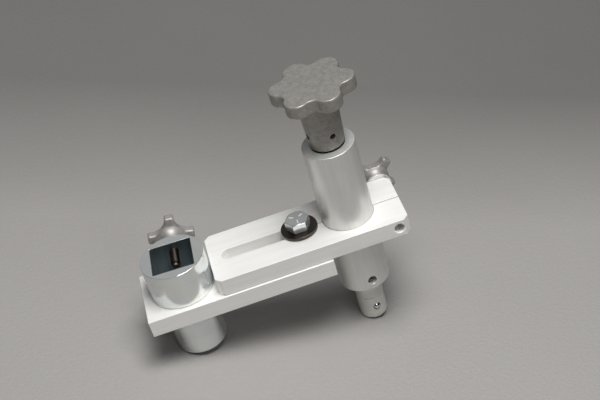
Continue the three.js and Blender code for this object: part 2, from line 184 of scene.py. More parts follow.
def repeated(points: Sequence[Point], first: float, count: int) -> list[Point]:
    """Copies of a run of points, spaced evenly round the origin.

    Args:
        points: one run, built along +X.
        first: the angle of the first copy, in radians.
        count: how many copies go round.

    Returns:
        The points of every copy in order.
    """
    made = []
    for i in range(count):
        turn = first + 2 * math.pi * i / count
        sin, cos = math.sin(turn), math.cos(turn)
        made += [(x * cos - y * sin, x * sin + y * cos) for x, y in points]
    return made


# ---- modelling
def circle(name: str, radius: float, height: float, facets: int) -> Object:
    """Adds an open ring of edges about the Z axis.

    Args:
        name: the object's name.
        radius: its radius.
        height: how high it lies.
        facets: how many edges it has.

    Returns:
        The new object.
    """
    bpy.ops.object.select_all(action="DESELECT")
    bpy.ops.mesh.primitive_circle_add(vertices=facets, radius=radius, location=(0, 0, height))
    return applied(name)


def loop(name: str, points: Sequence[Sequence[float]]) -> Object:
    """Adds a ring of edges and lays its corners on points.

    Args:
        name: the object's name.
        points: where each corner goes.

    Returns:
        The new object.
    """
    obj = circle(name, 1.0, 0.0, len(points))
    for vertex, point in zip(obj.data.vertices, points):
        vertex.co = point
    return obj


def edit_all() -> None:
    """Opens the active object in edit mode with everything selected."""
    bpy.ops.object.mode_set(mode="EDIT")
    bpy.ops.mesh.select_all(action="SELECT")


def close_up() -> None:
    """In edit mode, merges doubles, fills open ends and turns every face outwards."""
    bpy.ops.mesh.select_all(action="SELECT")
    bpy.ops.mesh.remove_doubles(threshold=WELD)
    bpy.ops.mesh.fill_holes(sides=0)
    bpy.ops.mesh.normals_make_consistent(inside=False)
    bpy.ops.object.mode_set(mode="OBJECT")


def turned(name: str, profile: Sequence[Point], facets: int = FACETS) -> Object:
    """Turns a solid about the Z axis by extruding a circle from one ring to the next.

    Args:
        name: the object's name.
        profile: radius and height of each ring. A profile that comes back to its start is a
            hollow ring, and any other has its two ends filled.
        facets: how many facets go round it.

    Returns:
        The new object.
    """
    radius, height = profile[0]
    obj = circle(name, radius, height, facets)
    edit_all()
    for wide, high in profile[1:]:
        lift = {"value": (0, 0, high - height)}
        bpy.ops.mesh.extrude_region_move(TRANSFORM_OT_translate=lift)
        grow = wide / radius
        bpy.ops.transform.resize(value=(grow, grow, 1), center_override=(0, 0, high))
        radius, height = wide, high
    close_up()
    return obj


def hollow(name: str, sizes: Ring, facets: int = FACETS) -> Object:
    """Turns a hollow ring about the Z axis.

    Args:
        name: the object's name.
        sizes: its inner and outer radius, and the heights of its ends.
        facets: how many facets go round it.

    Returns:
        The new object.
    """
    inner, outer, low, high = sizes
    rings = [(inner, low), (outer, low), (outer, high), (inner, high), (inner, low)]
    return turned(name, rings, facets)


def prism(name: str, outline: Sequence[Point], low: float, high: float) -> Object:
    """Raises a flat outline along Z.

    Args:
        name: the object's name.
        outline: the outline's corners.
        low: height of its underside.
        high: height of its top.

    Returns:
        The new object.
    """
    obj = loop(name, [(x, y, low) for x, y in outline])
    edit_all()
    bpy.ops.mesh.extrude_region_move(TRANSFORM_OT_translate={"value": (0, 0, high - low)})
    close_up()
    return obj


def block(name: str, low: Sequence[float], high: Sequence[float]) -> Object:
    """Adds a box between two corners.

    Args:
        name: the object's name.
        low: its lowest corner.
        high: its highest corner.

    Returns:
        The new object.
    """
    bpy.ops.object.select_all(action="DESELECT")
    middle = [(a + b) / 2 for a, b in zip(low, high)]
    size = [b - a for a, b in zip(low, high)]
    bpy.ops.mesh.primitive_cube_add(size=1, location=middle, scale=size)
    return applied(name)


def rise(edge: BMEdge) -> float:
    """How far an edge climbs."""
    return abs(edge.verts[0].co.z - edge.verts[1].co.z)


def upright(edge: BMEdge) -> bool:
    """Whether an edge stands up."""
    return rise(edge) > 1


def level(edge: BMEdge) -> bool:
    """Whether an edge lies flat."""
    return rise(edge) < 0.1


def pick_edges(obj: Object, test: EdgeTest) -> None:
    """Opens an object in edit mode with the edges that pass a test selected.

    Args:
        obj: the object.
        test: says whether an edge is selected.
    """
    only(obj)
    bpy.ops.object.mode_set(mode="EDIT")
    bpy.ops.mesh.select_mode(type="EDGE")
    bpy.ops.mesh.select_all(action="DESELECT")
    mesh = bmesh.from_edit_mesh(obj.data)
    for edge in mesh.edges:
        edge.select_set(test(edge))
    bmesh.update_edit_mesh(obj.data)


def bevel_where(obj: Object, test: EdgeTest, width: float, segments: int = 1) -> None:
    """Bevels the edges that pass a test.

    Args:
        obj: the object to shape.
        test: says whether an edge is bevelled.
        width: the bevel's offset in millimetres.
        segments: how many facets round it off.
    """
    pick_edges(obj, test)
    bpy.ops.mesh.bevel(offset=width, segments=segments, affect="EDGES")
    bpy.ops.object.mode_set(mode="OBJECT")


def modify(obj: Object, kind: str, **settings: object) -> None:
    """Adds a modifier and applies it.

    Args:
        obj: the object.
        kind: the modifier's type.
        **settings: values for its settings.
    """
    only(obj)
    modifier = obj.modifiers.new(kind.lower(), kind)
    for key, value in settings.items():
        setattr(modifier, key, value)
    bpy.ops.object.modifier_apply(modifier=modifier.name)


def combine(obj: Object, operation: str, *tools: Object) -> Object:
    """Cuts tools out of an object, or joins or intersects them with it.

    Args:
        obj: the object.
        operation: DIFFERENCE, UNION or INTERSECT.
        *tools: the other objects, which are removed.

    Returns:
        The object.
    """
    for tool in tools:
        modify(obj, "BOOLEAN", operation=operation, object=tool, solver="EXACT")
        bpy.data.objects.remove(tool)
    return obj


def soften(obj: Object, width: float, segments: int = 2, angle: float = 40) -> None:
    """Breaks every edge sharper than an angle in degrees."""
    modify(
        obj, "BEVEL", width=width, segments=segments, limit_method="ANGLE",
        angle_limit=math.radians(angle), use_clamp_overlap=False, miter_outer="MITER_ARC",
    )


def cast(obj: Object, voxel: float, passes: int) -> None:
    """Makes joined shapes one casting, with its inner corners filled and its edges rounded."""
    modify(obj, "REMESH", mode="VOXEL", voxel_size=voxel, use_smooth_shade=True)
    modify(obj, "SMOOTH", factor=0.5, iterations=passes)


def rod(radius: float, low: float, high: float, facets: int = SMALL_FACETS) -> Object:
    """A plain round cutting tool along Z."""
    return turned("tool", [(radius, low), (radius, high)], facets)


def sink(hole: float, bevel: float, mouth: float) -> Object:
    """A 45 degree countersinking tool along Z.

    Args:
        hole: the hole's radius.
        bevel: how wide the countersink is.
        mouth: height of the hole's mouth.

    Returns:
        The tool.
    """
    past = 0.4
    wide = hole + bevel + past
    rings = [(hole - past, mouth - bevel - past), (wide, mouth + past), (wide, mouth + TOOL_PAST)]
    return turned("tool", rings, SMALL_FACETS)


def threaded(name: str, radius: float, pitch: float, low: float, high: float) -> Object:
    """A rod along Z with a helical thread, closed at both ends.

    Args:
        name: the object's name.
        radius: the thread's outer radius.
        pitch: the rise of one turn.
        low: height of the lower end.
        high: height of the upper end.

    Returns:
        The new object.
    """
    core = radius - THREAD_DEPTH * pitch
    start = low - 2 * pitch
    tooth = [(core, 0.0), (radius, 0.44), (radius, 0.56), (core, 1.0)]
    obj = loop(name, [(x, 0, start + share * pitch) for x, share in tooth])
    pick_edges(obj, lambda edge: rise(edge) > 0.9 * pitch)
    bpy.ops.mesh.delete(type="EDGE")
    bpy.ops.object.mode_set(mode="OBJECT")
    turns = math.ceil((high - start) / pitch) + 2
    modify(
        obj, "SCREW", axis="Z", angle=2 * math.pi, screw_offset=pitch, iterations=turns,
        steps=THREAD_STEPS, render_steps=THREAD_STEPS, use_merge_vertices=True,
        merge_threshold=WELD,
    )
    bpy.ops.object.mode_set(mode="EDIT")
    for height, up in ((low, -1), (high, 1)):
        bpy.ops.mesh.select_all(action="SELECT")
        bpy.ops.mesh.bisect(
            plane_co=(0, 0, height), plane_no=(0, 0, up), use_fill=True, clear_outer=True
        )
    close_up()
    return obj


def dress(
    obj: Object,
    finish: "Finish",
    body: Body,
    node: str,
    crisp: bool = True,
    patches: Sequence[Patch] = (),
) -> None:
    """Finishes a piece: scales it to metres, shades it, gives its finish and ties it to the frame.

    Args:
        obj: the piece, modelled in millimetres.
        finish: its finish.
        body: the body of the frame that it rides on.
        node: the CAD node that it stands for.
        crisp: whether its flat faces are shaded flat up to their broken edges.
        patches: faces with a finish of their own, each a finish and a test of a face.
    """
    move(obj, Matrix.Scale(MM, 4))
    bpy.ops.object.shade_smooth_by_angle(angle=math.radians(50))
    if crisp:
        modify(obj, "WEIGHTED_NORMAL", keep_sharp=True, weight=80)
    obj.data.materials.clear()
    obj.data.materials.append(finish.material())
    for index, (other, test) in enumerate(patches, 1):
        obj.data.materials.append(other.material())
        for face in obj.data.polygons:
            if test(face):
                face.material_index = index
    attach(obj, body.value)
    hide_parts(node)
    LOG.info("%s: %d faces, rides on %s", obj.name, len(obj.data.polygons), body.value)


# ---- finishes
class Graph:
    """A node tree being built, with short ways to add and link nodes."""

    def __init__(self, tree: NodeTree) -> None:
        """Starts from an empty tree."""
        self.tree = tree
        tree.nodes.clear()

    def add(self, kind: str, **inputs: object) -> Node:
        """Adds a node.

        Args:
            kind: the node's type.
            **inputs: values or outputs for its sockets, named with _ for a space.

        Returns:
            The node.
        """
        node = self.tree.nodes.new(kind)
        for key, value in inputs.items():
            self.put(node, key.replace("_", " "), value)
        return node

    def put(self, node: Node, socket: str | int, value: object) -> None:
        """Sets an input to a value, or links it to another node's output.

        Args:
            node: the node.
            socket: the input's name or number.
            value: the value or the output.
        """
        target = node.inputs[socket]
        if isinstance(value, NodeSocket):
            self.tree.links.new(value, target)
        else:
            target.default_value = value

    def work(self, kind: str, operation: str, a: object, b: object) -> Node:
        """Adds a math or vector math node.

        Args:
            kind: the node's type.
            operation: what it does.
            a: its first input.
            b: its second input.

        Returns:
            The node.
        """
        node = self.tree.nodes.new(kind)
        node.operation = operation
        self.put(node, 0, a)
        self.put(node, 1, b)
        return node

    def math(self, operation: str, a: object, b: object) -> NodeSocket:
        """The output of a math node."""
        return self.work("ShaderNodeMath", operation, a, b).outputs[0]

    def times(self, a: object, b: object) -> NodeSocket:
        """One value times another."""
        return self.math("MULTIPLY", a, b)

    def place(self) -> NodeSocket:
        """Where a point is on its piece."""
        return self.add("ShaderNodeTexCoord").outputs["Object"]

    def spread(self, value: object, low: float, high: float, to: Point = (0, 1)) -> NodeSocket:
        """Moves a value from one range to another, held at its ends.

        Args:
            value: the value.
            low: the start of its range.
            high: the end of its range.
            to: the start and the end of the new range.

        Returns:
            The moved value.
        """
        node = self.add("ShaderNodeMapRange", Value=value, From_Min=low, From_Max=high)
        self.put(node, "To Min", to[0])
        self.put(node, "To Max", to[1])
        return node.outputs[0]

    def blend(self, mask: object, a: object, b: object) -> NodeSocket:
        """Mixes two colours.

        Args:
            mask: how much of the second colour shows.
            a: the first colour or output.
            b: the second colour or output.

        Returns:
            The mixed colour.
        """
        node = self.tree.nodes.new("ShaderNodeMix")
        node.data_type = "RGBA"
        for socket, value in ((0, mask), (6, a), (7, b)):
            self.put(node, socket, (*value, 1) if isinstance(value, tuple) else value)
        return node.outputs[2]

    def noise(self, vector: object, scale: object, detail: float) -> NodeSocket:
        """Smooth noise."""
        node = self.add("ShaderNodeTexNoise", Vector=vector, Scale=scale, Detail=detail)
        return node.outputs[0]


def group(name: str, inputs: dict[str, object], outputs: Sequence[str]) -> tuple[Graph, Node, Node]:
    """Starts a node group.

    Args:
        name: the group's name.
        inputs: each input's value by its name, a vector where it is a tuple.
        outputs: the names of its number outputs.

    Returns:
        The graph, its input node and its output node.
    """
    tree = bpy.data.node_groups.new(name, "ShaderNodeTree")
    graph = Graph(tree)
    for key, value in inputs.items():
        kind = "NodeSocketVector" if isinstance(value, tuple) else "NodeSocketFloat"
        socket = tree.interface.new_socket(name=key, in_out="INPUT", socket_type=kind)
        socket.default_value = value
    for key in outputs:
        tree.interface.new_socket(name=key, in_out="OUTPUT", socket_type="NodeSocketFloat")
    return graph, graph.add("NodeGroupInput"), graph.add("NodeGroupOutput")


@cache
def machined_lines() -> NodeTree:
    """Builds fine lines that run one way: Fine for the lines, Broad for bands of them.

    Returns:
        The group.
    """
    inputs = {"Lay": (1, 1, 1), "Scale": 1500.0}
    graph, given, made = group("machined_lines", inputs, ("Fine", "Broad"))
    scale, place = given.outputs["Scale"], graph.place()
    laid = graph.work("ShaderNodeVectorMath", "MULTIPLY", place, given.outputs["Lay"]).outputs[0]
    graph.put(made, "Fine", graph.noise(laid, scale, 6))
    graph.put(made, "Broad", graph.noise(laid, graph.times(scale, 0.09), 3))
    return graph.tree


@cache
def handling() -> NodeTree:
    """Builds what handling leaves: Smudge for dull patches, Scratch for thin crossing marks.

    Returns:
        The group.
    """
    graph, given, made = group("handling", {"Size": 60.0, "Scratches": 0.5}, ("Smudge", "Scratch"))
    place = graph.place()
    smudge = graph.noise(place, given.outputs["Size"], 5)
    graph.put(made, "Smudge", graph.spread(smudge, 0.35, 0.7))
    lines = []
    for turn, stretch in ((0.5, (900.0, 22.0, 300.0)), (2.1, (40.0, 1100.0, 260.0))):
        lean = (0.3, 0.2, turn)
        laid = graph.add("ShaderNodeMapping", Vector=place, Rotation=lean, Scale=stretch)
        lines.append(graph.spread(graph.noise(laid.outputs[0], 1.0, 2), 0.70, 0.76))
    both = graph.math("MAXIMUM", *lines)
    graph.put(made, "Scratch", graph.times(both, given.outputs["Scratches"]))
    return graph.tree


@cache
def rubbed_edges() -> NodeTree:
    """Finds where an outer edge is rubbed: Mask is 1 on edges and 0 on open faces.

    Returns:
        The group.
    """
    graph, given, made = group("rubbed_edges", {"Reach": 0.0006, "Ragged": 0.5}, ("Mask",))
    rounded = graph.add("ShaderNodeBevel", Radius=given.outputs["Reach"])
    rounded.samples = 4
    normal = graph.add("ShaderNodeNewGeometry").outputs["Normal"]
    sharp = graph.work("ShaderNodeVectorMath", "DOT_PRODUCT", rounded.outputs[0], normal)
    edge = graph.spread(sharp.outputs["Value"], 0.90, 0.995, (1.0, 0.0))
    torn = graph.spread(graph.noise(graph.place(), 900.0, 4), 0.35, 0.6)
    keep = graph.math("SUBTRACT", 1.0, given.outputs["Ragged"])
    graph.put(made, "Mask", graph.times(edge, graph.math("MAXIMUM", keep, torn)))
    return graph.tree


@cache
def cast_skin() -> NodeTree:
    """Builds a casting's skin: Grain for its pebbly height, Pits for scattered dark pores.

    Returns:
        The group.
    """
    graph, given, made = group("cast_skin", {"Scale": 1600.0}, ("Grain", "Pits"))
    place, scale = graph.place(), given.outputs["Scale"]
    cells = graph.add("ShaderNodeTexVoronoi", Vector=place, Scale=scale).outputs[0]
    grain = graph.math("ADD", graph.times(cells, 0.6), graph.noise(place, scale, 3))
    graph.put(made, "Grain", grain)
    pits = graph.noise(place, graph.times(scale, 0.45), 2)
    graph.put(made, "Pits", graph.spread(pits, 0.62, 0.72))
    return graph.tree


def effect(graph: Graph, tree: NodeTree, **inputs: object) -> dict[str, NodeSocket]:
    """Places an effect's group in a material.

    Args:
        graph: the material's graph.
        tree: the group.
        **inputs: values for its inputs.

    Returns:
        Its outputs by name.
    """
    node = graph.tree.nodes.new("ShaderNodeGroup")
    node.node_tree = tree
    for key, value in inputs.items():
        graph.put(node, key, value)
    return node.outputs


def new_material(name: str) -> tuple[Material, Graph, Node]:
    """Starts a material.

    Args:
        name: the material's name.

    Returns:
        The material, its graph and its shader.
    """
    made = bpy.data.materials.new(name)
    made.use_nodes = True
    graph = Graph(made.node_tree)
    shader = graph.add("ShaderNodeBsdfPrincipled")
    graph.add("ShaderNodeOutputMaterial", Surface=shader.outputs[0])
    return made, graph, shader


FINE_SHARE, BROAD_SHARE = 0.6, 0.4  # of fine lines and broad bands in the tone
SMUDGE_SHARE, BAND_SHARE = 0.5, 0.5  # of smudges and bands in the roughness
PIT_SHARE = 0.6  # how much a pore darkens a casting
RUBBED_SHARE, SCRATCHED_SHARE = 0.8, 0.5  # how much of the edge colour shows
SCRATCH_DEPTH = 0.003
RAGGED = 0.35


@dataclass(frozen=True)
class Finish:
    """A surface's finish.

    Attributes:
        name: the material's name.
        slot: the record's material slot; not used by this script.
        dark: colour in the hollows of its grain.
        light: colour on the heights of its grain.
        stain: colour of its broad patches, and how strong they are.
        edge: colour of its rubbed edges, and how far they reach in millimetres.
        metallic: 1 for bare metal, less where it also scatters light, 0 for plastic.
        rough: lowest and highest roughness.
        lay: which way its lines run.
        line_scale: how close its lines are, per metre.
        line_depth: height of its lines in millimetres.
        skin_scale: how close a casting's pebbles are, per metre.
        skin_depth: height of a casting's pebbles in millimetres.
        scratches: how strong its scratches are.
    """

    name: str
    slot: str
    dark: Colour
    light: Colour
    stain: tuple[Colour, float] = ((0.5, 0.5, 0.5), 0.0)
    edge: tuple[Colour, float] = ((0.9, 0.9, 0.9), 0.3)
    metallic: float = 1.0
    rough: Point = (0.3, 0.45)
    lay: Lay = Lay.EVEN
    line_scale: float = 1500.0
    line_depth: float = 0.004
    skin_scale: float = 1600.0
    skin_depth: float = 0.0
    scratches: float = 0.4

    @cache
    def material(self) -> Material:
        """Builds the finish's material once.

        Returns:
            The material.
        """
        made, graph, shader = new_material(self.name)
        graph.put(shader, "Metallic", self.metallic)
        self.wire(graph, shader)
        return made

    def wire(self, graph: Graph, shader: Node) -> None:
        """Wires colour, roughness and relief into the shader.

        Args:
            graph: the material's graph.
            shader: its shader.
        """
        lines = effect(graph, machined_lines(), Lay=self.lay.value, Scale=self.line_scale)
        marks = effect(graph, handling(), Scratches=self.scratches)
        edges = effect(graph, rubbed_edges(), Reach=self.edge[1] * MM, Ragged=RAGGED)
        tone = graph.times(lines["Fine"], FINE_SHARE)
        tone = graph.math("ADD", tone, graph.times(lines["Broad"], BROAD_SHARE))
        tone = graph.spread(tone, 0.35, 0.65)
        height = graph.times(lines["Fine"], self.line_depth)
        if self.skin_depth:
            skin = effect(graph, cast_skin(), Scale=self.skin_scale)
            tone = graph.times(skin["Grain"], graph.math("ADD", tone, 0.45))
            tone = graph.math("SUBTRACT", tone, graph.times(skin["Pits"], PIT_SHARE))
            height = graph.math("ADD", height, graph.times(skin["Grain"], self.skin_depth))
        base = graph.blend(graph.spread(tone, 0.0, 1.0), self.dark, self.light)
        base = graph.blend(graph.times(marks["Smudge"], self.stain[1]), base, self.stain[0])
        base = graph.blend(graph.times(edges["Mask"], RUBBED_SHARE), base, self.edge[0])
        base = graph.blend(graph.times(marks["Scratch"], SCRATCHED_SHARE), base, self.edge[0])
        dull = graph.times(marks["Smudge"], SMUDGE_SHARE)
        dull = graph.math("ADD", dull, graph.times(lines["Broad"], BAND_SHARE))
        height = graph.math("SUBTRACT", height, graph.times(marks["Scratch"], SCRATCH_DEPTH))
        bump = graph.add("ShaderNodeBump", Strength=1.0, Distance=MM, Height=height)
        graph.put(shader, "Base Color", base)
        graph.put(shader, "Roughness", graph.spread(dull, 0.15, 0.75, self.rough))
        graph.put(shader, "Normal", bump.outputs[0])


BRUSHED = Finish(
    "brushed_aluminium", "bar_aluminium", (0.86, 0.85, 0.825), (0.98, 0.97, 0.945),
    stain=((0.93, 0.92, 0.90), 0.5), edge=((1.0, 0.99, 0.97), 0.35), metallic=0.2,
    rough=(0.42, 0.56), lay=Lay.LENGTHWISE, line_scale=1700.0, line_depth=0.010, scratches=0.5,
)
SATIN = Finish(
    "satin_aluminium", "tube_aluminium", (0.69, 0.685, 0.66), (0.79, 0.785, 0.76),
    stain=((0.71, 0.70, 0.68), 0.3), edge=((0.95, 0.95, 0.93), 0.5), metallic=0.62,
    rough=(0.34, 0.42), lay=Lay.UPRIGHT, line_scale=2200.0, line_depth=0.0015, scratches=0.15,
)
ZINC = Finish(
    "clear_zinc", "zinc_plate", (0.70, 0.745, 0.755), (0.79, 0.83, 0.84),
    stain=((0.84, 0.83, 0.73), 0.5), edge=((0.94, 0.96, 0.96), 0.4), metallic=0.72,
    rough=(0.14, 0.24), lay=Lay.TURNED, line_scale=1400.0, line_depth=0.003, scratches=0.3,
)
# Painted shade: darker zinc for the faces inside the socket's recess.
RECESS_ZINC_PAINTED_SHADE = Finish(
    "recess_zinc_painted_shade", "zinc_plate", (0.25, 0.295, 0.31), (0.47, 0.52, 0.54),
    stain=((0.20, 0.24, 0.255), 0.5), edge=((0.55, 0.60, 0.62), 0.3), metallic=0.9,
    rough=(0.14, 0.26), lay=Lay.UPRIGHT, line_scale=900.0, line_depth=0.004, scratches=0.6,
)
# Painted highlight: near-white zinc for the tops of the bolt head's raised marks.
HEAD_MARK_ZINC_PAINTED_HIGHLIGHT = Finish(
    "head_mark_zinc_painted_highlight", "zinc_plate", (0.90, 0.90, 0.88), (0.98, 0.98, 0.96),
    edge=((1.0, 1.0, 0.98), 0.2), metallic=0.2, rough=(0.30, 0.42), line_scale=2600.0,
    line_depth=0.001,
)
# Painted shade: dark steel for the set screw deep in the column's drilled hole.
SET_SCREW_STEEL_PAINTED_SHADE = Finish(
    "set_screw_steel_painted_shade", "bright_steel", (0.13, 0.13, 0.125), (0.24, 0.24, 0.23),
    edge=((0.5, 0.5, 0.49), 0.2), rough=(0.34, 0.48), line_scale=1900.0, line_depth=0.002,
)
CAST_GREY = Finish(
    "sand_cast_aluminium", "cast_grey", (0.155, 0.148, 0.134), (0.360, 0.345, 0.318),
    edge=((0.70, 0.69, 0.67), 0.6), metallic=0.40, rough=(0.34, 0.46), skin_scale=2600.0,
    skin_depth=0.022, line_scale=3200.0, line_depth=0.0, scratches=0.2,
)
CAST_STAINLESS = Finish(
    "tumbled_stainless", "cast_stainless", (0.35, 0.332, 0.315), (0.47, 0.450, 0.430),
    stain=((0.41, 0.39, 0.37), 0.3), edge=((0.62, 0.60, 0.575), 0.6), metallic=0.6,
    rough=(0.50, 0.60), skin_scale=1100.0, skin_depth=0.012, line_scale=400.0, line_depth=0.0,
    scratches=0.3,
)
GROUND = Finish(
    "ground_shaft", "ground_steel", (0.62, 0.64, 0.585), (0.76, 0.78, 0.72),
    stain=((0.80, 0.81, 0.74), 0.4), edge=((0.94, 0.95, 0.91), 0.4), metallic=0.32,
    rough=(0.26, 0.38), lay=Lay.TURNED, line_scale=2200.0, line_depth=0.003, scratches=0.3,
)
BLACKENED = Finish(
    "black_oxide_steel", "black_oxide", (0.055, 0.047, 0.040), (0.135, 0.117, 0.100),
    stain=((0.15, 0.12, 0.10), 0.5), edge=((0.30, 0.26, 0.23), 0.3), rough=(0.26, 0.42),
    lay=Lay.TURNED, line_scale=1500.0, line_depth=0.004, scratches=0.6,
)
BRIGHT = Finish(
    "polished_steel", "bright_steel", (0.62, 0.62, 0.61), (0.80, 0.80, 0.79),
    stain=((0.66, 0.66, 0.64), 0.3), edge=((0.92, 0.92, 0.91), 0.2), rough=(0.10, 0.22),
    lay=Lay.TURNED, line_scale=2500.0, line_depth=0.001, scratches=0.2,
)
FACED = Finish(
    "faced_aluminium", "tube_aluminium", (0.74, 0.75, 0.71), (0.88, 0.89, 0.86),
    edge=((0.95, 0.95, 0.93), 0.4), metallic=0.5, rough=(0.34, 0.46), line_scale=1900.0,
    line_depth=0.004,
)
WASHER = Finish(
    "tumbled_steel", "bright_steel", (0.74, 0.735, 0.71), (0.90, 0.895, 0.87),
    edge=((0.95, 0.95, 0.93), 0.3), metallic=0.5, rough=(0.34, 0.46), line_scale=1900.0,
    line_depth=0.003,
)
BRONZE = Finish(
    "sintered_bronze", "bronze", (0.12, 0.095, 0.065), (0.25, 0.200, 0.14),
    stain=((0.18, 0.145, 0.10), 0.4), edge=((0.38, 0.32, 0.24), 0.3), rough=(0.30, 0.48),
    skin_scale=3000.0, skin_depth=0.006, line_scale=900.0, line_depth=0.0, scratches=0.3,
)
NYLON = Finish(
    "nylon_sheet", "black_nylon", (0.012, 0.012, 0.012), (0.030, 0.029, 0.028),
    edge=((0.06, 0.06, 0.06), 0.2), metallic=0.0, rough=(0.45, 0.6), line_scale=1800.0,
    line_depth=0.006, scratches=0.4,
)


# ---- bars
@dataclass
class LowerBar:
    """The square-ended lower bar with the spigot's bore and the tapped bolt hole."""

    left: float = -28.3
    right: float = 101.7
    half_width: float = INCH
    thick: float = INCH / 2
    bore: float = 17.95
    bolt: tuple[float, float, float] = (87.2, 1.3, 4.9)
    set_screw: Point = (2.75, 16.0)

    def build(self) -> None:
        """Cuts the holes, breaks the edges and dresses the bar."""
        low = (self.left, -self.half_width, 0)
        bar = block("lower_bar_machined", low, (self.right, self.half_width, self.thick))
        ends = (-TOOL_PAST, self.thick + TOOL_PAST)
        x, y, radius = self.bolt
        hole, deep = self.set_screw
        side = radial(rod(hole, deep, TOOL_PAST - self.left), 180, self.thick / 2)
        tapped = shift(rod(radius, *ends), x, y)
        combine(bar, "DIFFERENCE", rod(self.bore, *ends, FACETS), tapped, side)
        soften(bar, EDGE_BREAK)
        dress(bar, BRUSHED, Body.BASE, "lower_bar")


@dataclass
class UpperBar:
    """The slotted upper bar with its split clamping end and corner chamfers."""

    left: float = 22.8
    right: float = 157.7
    side: float = 1.3
    base: float = 13.3
    chamfer: float = 3.6
    slot: tuple[float, float, float] = (36.8, 87.2, 5.2)
    slit: float = 1.0
    bore: Point = (121.4, 18.0)
    screw: tuple[float, float, float] = (150.1, 3.45, 0.6)

    def build(self) -> None:
        """Chamfers a blank, cuts slot, slit, bore and screw hole, and dresses the bar."""
        half, top = INCH, self.base + INCH / 2
        bar = block("upper_bar_machined", (self.left, -half, self.base), (self.right, half, top))
        bevel_where(bar, upright, self.chamfer)
        low, high = self.base - TOOL_PAST, top + TOOL_PAST
        first, last, r = self.slot
        quarter = math.pi / 2
        outline = arc((last, 0), r, -quarter, quarter, 24)
        outline += arc((first, 0), r, quarter, 3 * quarter, 24)
        past = self.right + TOOL_PAST
        slit = block("tool", (last, -self.slit / 2, low), (past, self.slit / 2, high))
        bore = shift(rod(self.bore[1], low, high, FACETS), self.bore[0], 0)
        x, hole, mouth = self.screw
        across = Matrix.Translation((x, 0, self.base + INCH / 4)) @ about("X", 90)
        drill = move(rod(hole, -half - TOOL_PAST, half + TOOL_PAST), across)
        cone = move(sink(hole, mouth, half), across)
        combine(bar, "DIFFERENCE", prism("tool", outline, low, high), slit, bore, drill, cone)
        soften(bar, EDGE_BREAK)
        shift(bar, 0, self.side)
        dress(bar, BRUSHED, Body.ARM, "upper_bar")


# ---- socket
@dataclass
class Socket:
    """The round boss with a blind square recess, on its spigot."""

    radius: float = 22.1
    foot: float = 13.0
    top: float = 40.5
    square: float = 28.6
    floor: float = 15.4
    spigot: float = 17.8
    spigot_end: float = -35.0
    spigot_bevel: float = 1.2
    yaw: float = -2.5
    screw: tuple[float, float, float] = (1.0, 32.4, 3.45)

    def inside(self, face: MeshPolygon) -> bool:
        """Whether a face is inside the recess, whose zinc is painted darker as shade."""
        x, y, z = face.center / MM
        return math.hypot(x, y) < self.radius - 1 and self.floor - 0.1 < z < self.top - 0.7

    def on_rim(self, edge: BMEdge) -> bool:
        """Whether an edge is round the recess's mouth."""
        ends, reach = [vertex.co for vertex in edge.verts], self.square / 2 + 0.1
        return all(abs(p.z - self.top) < 0.01 and max(abs(p.x), abs(p.y)) < reach for p in ends)

    def build(self) -> None:
        """Turns the boss, cuts the recess and the tapped hole, and dresses it."""
        rings = [(self.spigot - self.spigot_bevel, self.spigot_end)]
        rings += [(self.spigot, self.spigot_end + self.spigot_bevel), (self.spigot, self.foot)]
        rings += [(self.radius, self.foot), (self.radius, self.top)]
        boss = turned("socket_boss", rings, FINE_FACETS)
        half, tall = self.square / 2, self.top + TOOL_PAST
        recess = block("tool", (-half, -half, self.floor), (half, half, tall))
        bevel_where(recess, upright, 0.7, 4)
        x, height, hole = self.screw
        drill = move(rod(hole, half - TOOL_PAST, self.radius + TOOL_PAST), along_y(x, 0, height))
        soften(boss, 0.5, 3)
        combine(boss, "DIFFERENCE", recess, drill)
        bevel_where(boss, self.on_rim, 0.5, 3)
        move(boss, about("Z", self.yaw))
        # The faces inside the recess get the darker zinc as painted shade.
        dress(boss, ZINC, Body.BASE, "socket", patches=[(RECESS_ZINC_PAINTED_SHADE, self.inside)])


# ---- thumb screws
@dataclass
class CrossGrip:
    """A cast cross grip built along Z from its hub's face: four flared lobes on a waisted hub."""

    tip: float = 16.2
    corner: float = 1.3
    half_width: float = 2.1
    flare: float = 6.0
    waist: float = 8.9
    plate: Point = (7.4, 13.8)
    bore: float = 3.3
    bore_end: float = 11.6
    hub: Sequence[Point] = (
        (5.7, 0.0), (6.2, 0.5), (6.5, 2.4), (7.2, 4.2), (8.4, 5.9), (10.2, 7.3), (8.4, 9.0),
        (7.3, 13.8), (6.6, 14.5), (5.4, 15.1), (3.4, 15.5), (1.0, 15.6),
    )

    def outline(self) -> list[Point]:
        """Draws the cross: two corner arcs to a lobe and a hollow arc between lobes.

        Returns:
            Points round the cross.
        """
        flare, quarter = math.radians(self.flare), math.pi / 2
        sin, cos = math.sin(flare), math.cos(flare)
        far = self.tip - self.corner
        reach = self.waist + far * sin - self.half_width * cos - self.corner
        e = reach / (math.sqrt(2) + sin - cos)
        lobe = arc((far, -self.half_width), self.corner, -quarter - flare, 0, 6)
        lobe += arc((far, self.half_width), self.corner, 0, quarter + flare, 6)
        between = e * math.sqrt(2) - self.waist
        lobe += arc((e, e), between, flare - quarter, -math.pi - flare, 16)
        return repeated(lobe, 0.0, 4)

    def build(self, name: str) -> Object:
        """Joins lobes and hub and makes them one casting.

        Args:
            name: the grip's name.

        Returns:
            The grip.
        """
        grip = prism(name, self.outline(), *self.plate)
        bevel_where(grip, level, 1.1, 4)
        combine(grip, "UNION", turned("hub", self.hub, 64))
        cast(grip, 0.4, 22)
        return combine(grip, "DIFFERENCE", rod(self.bore, -TOOL_PAST, self.bore_end))


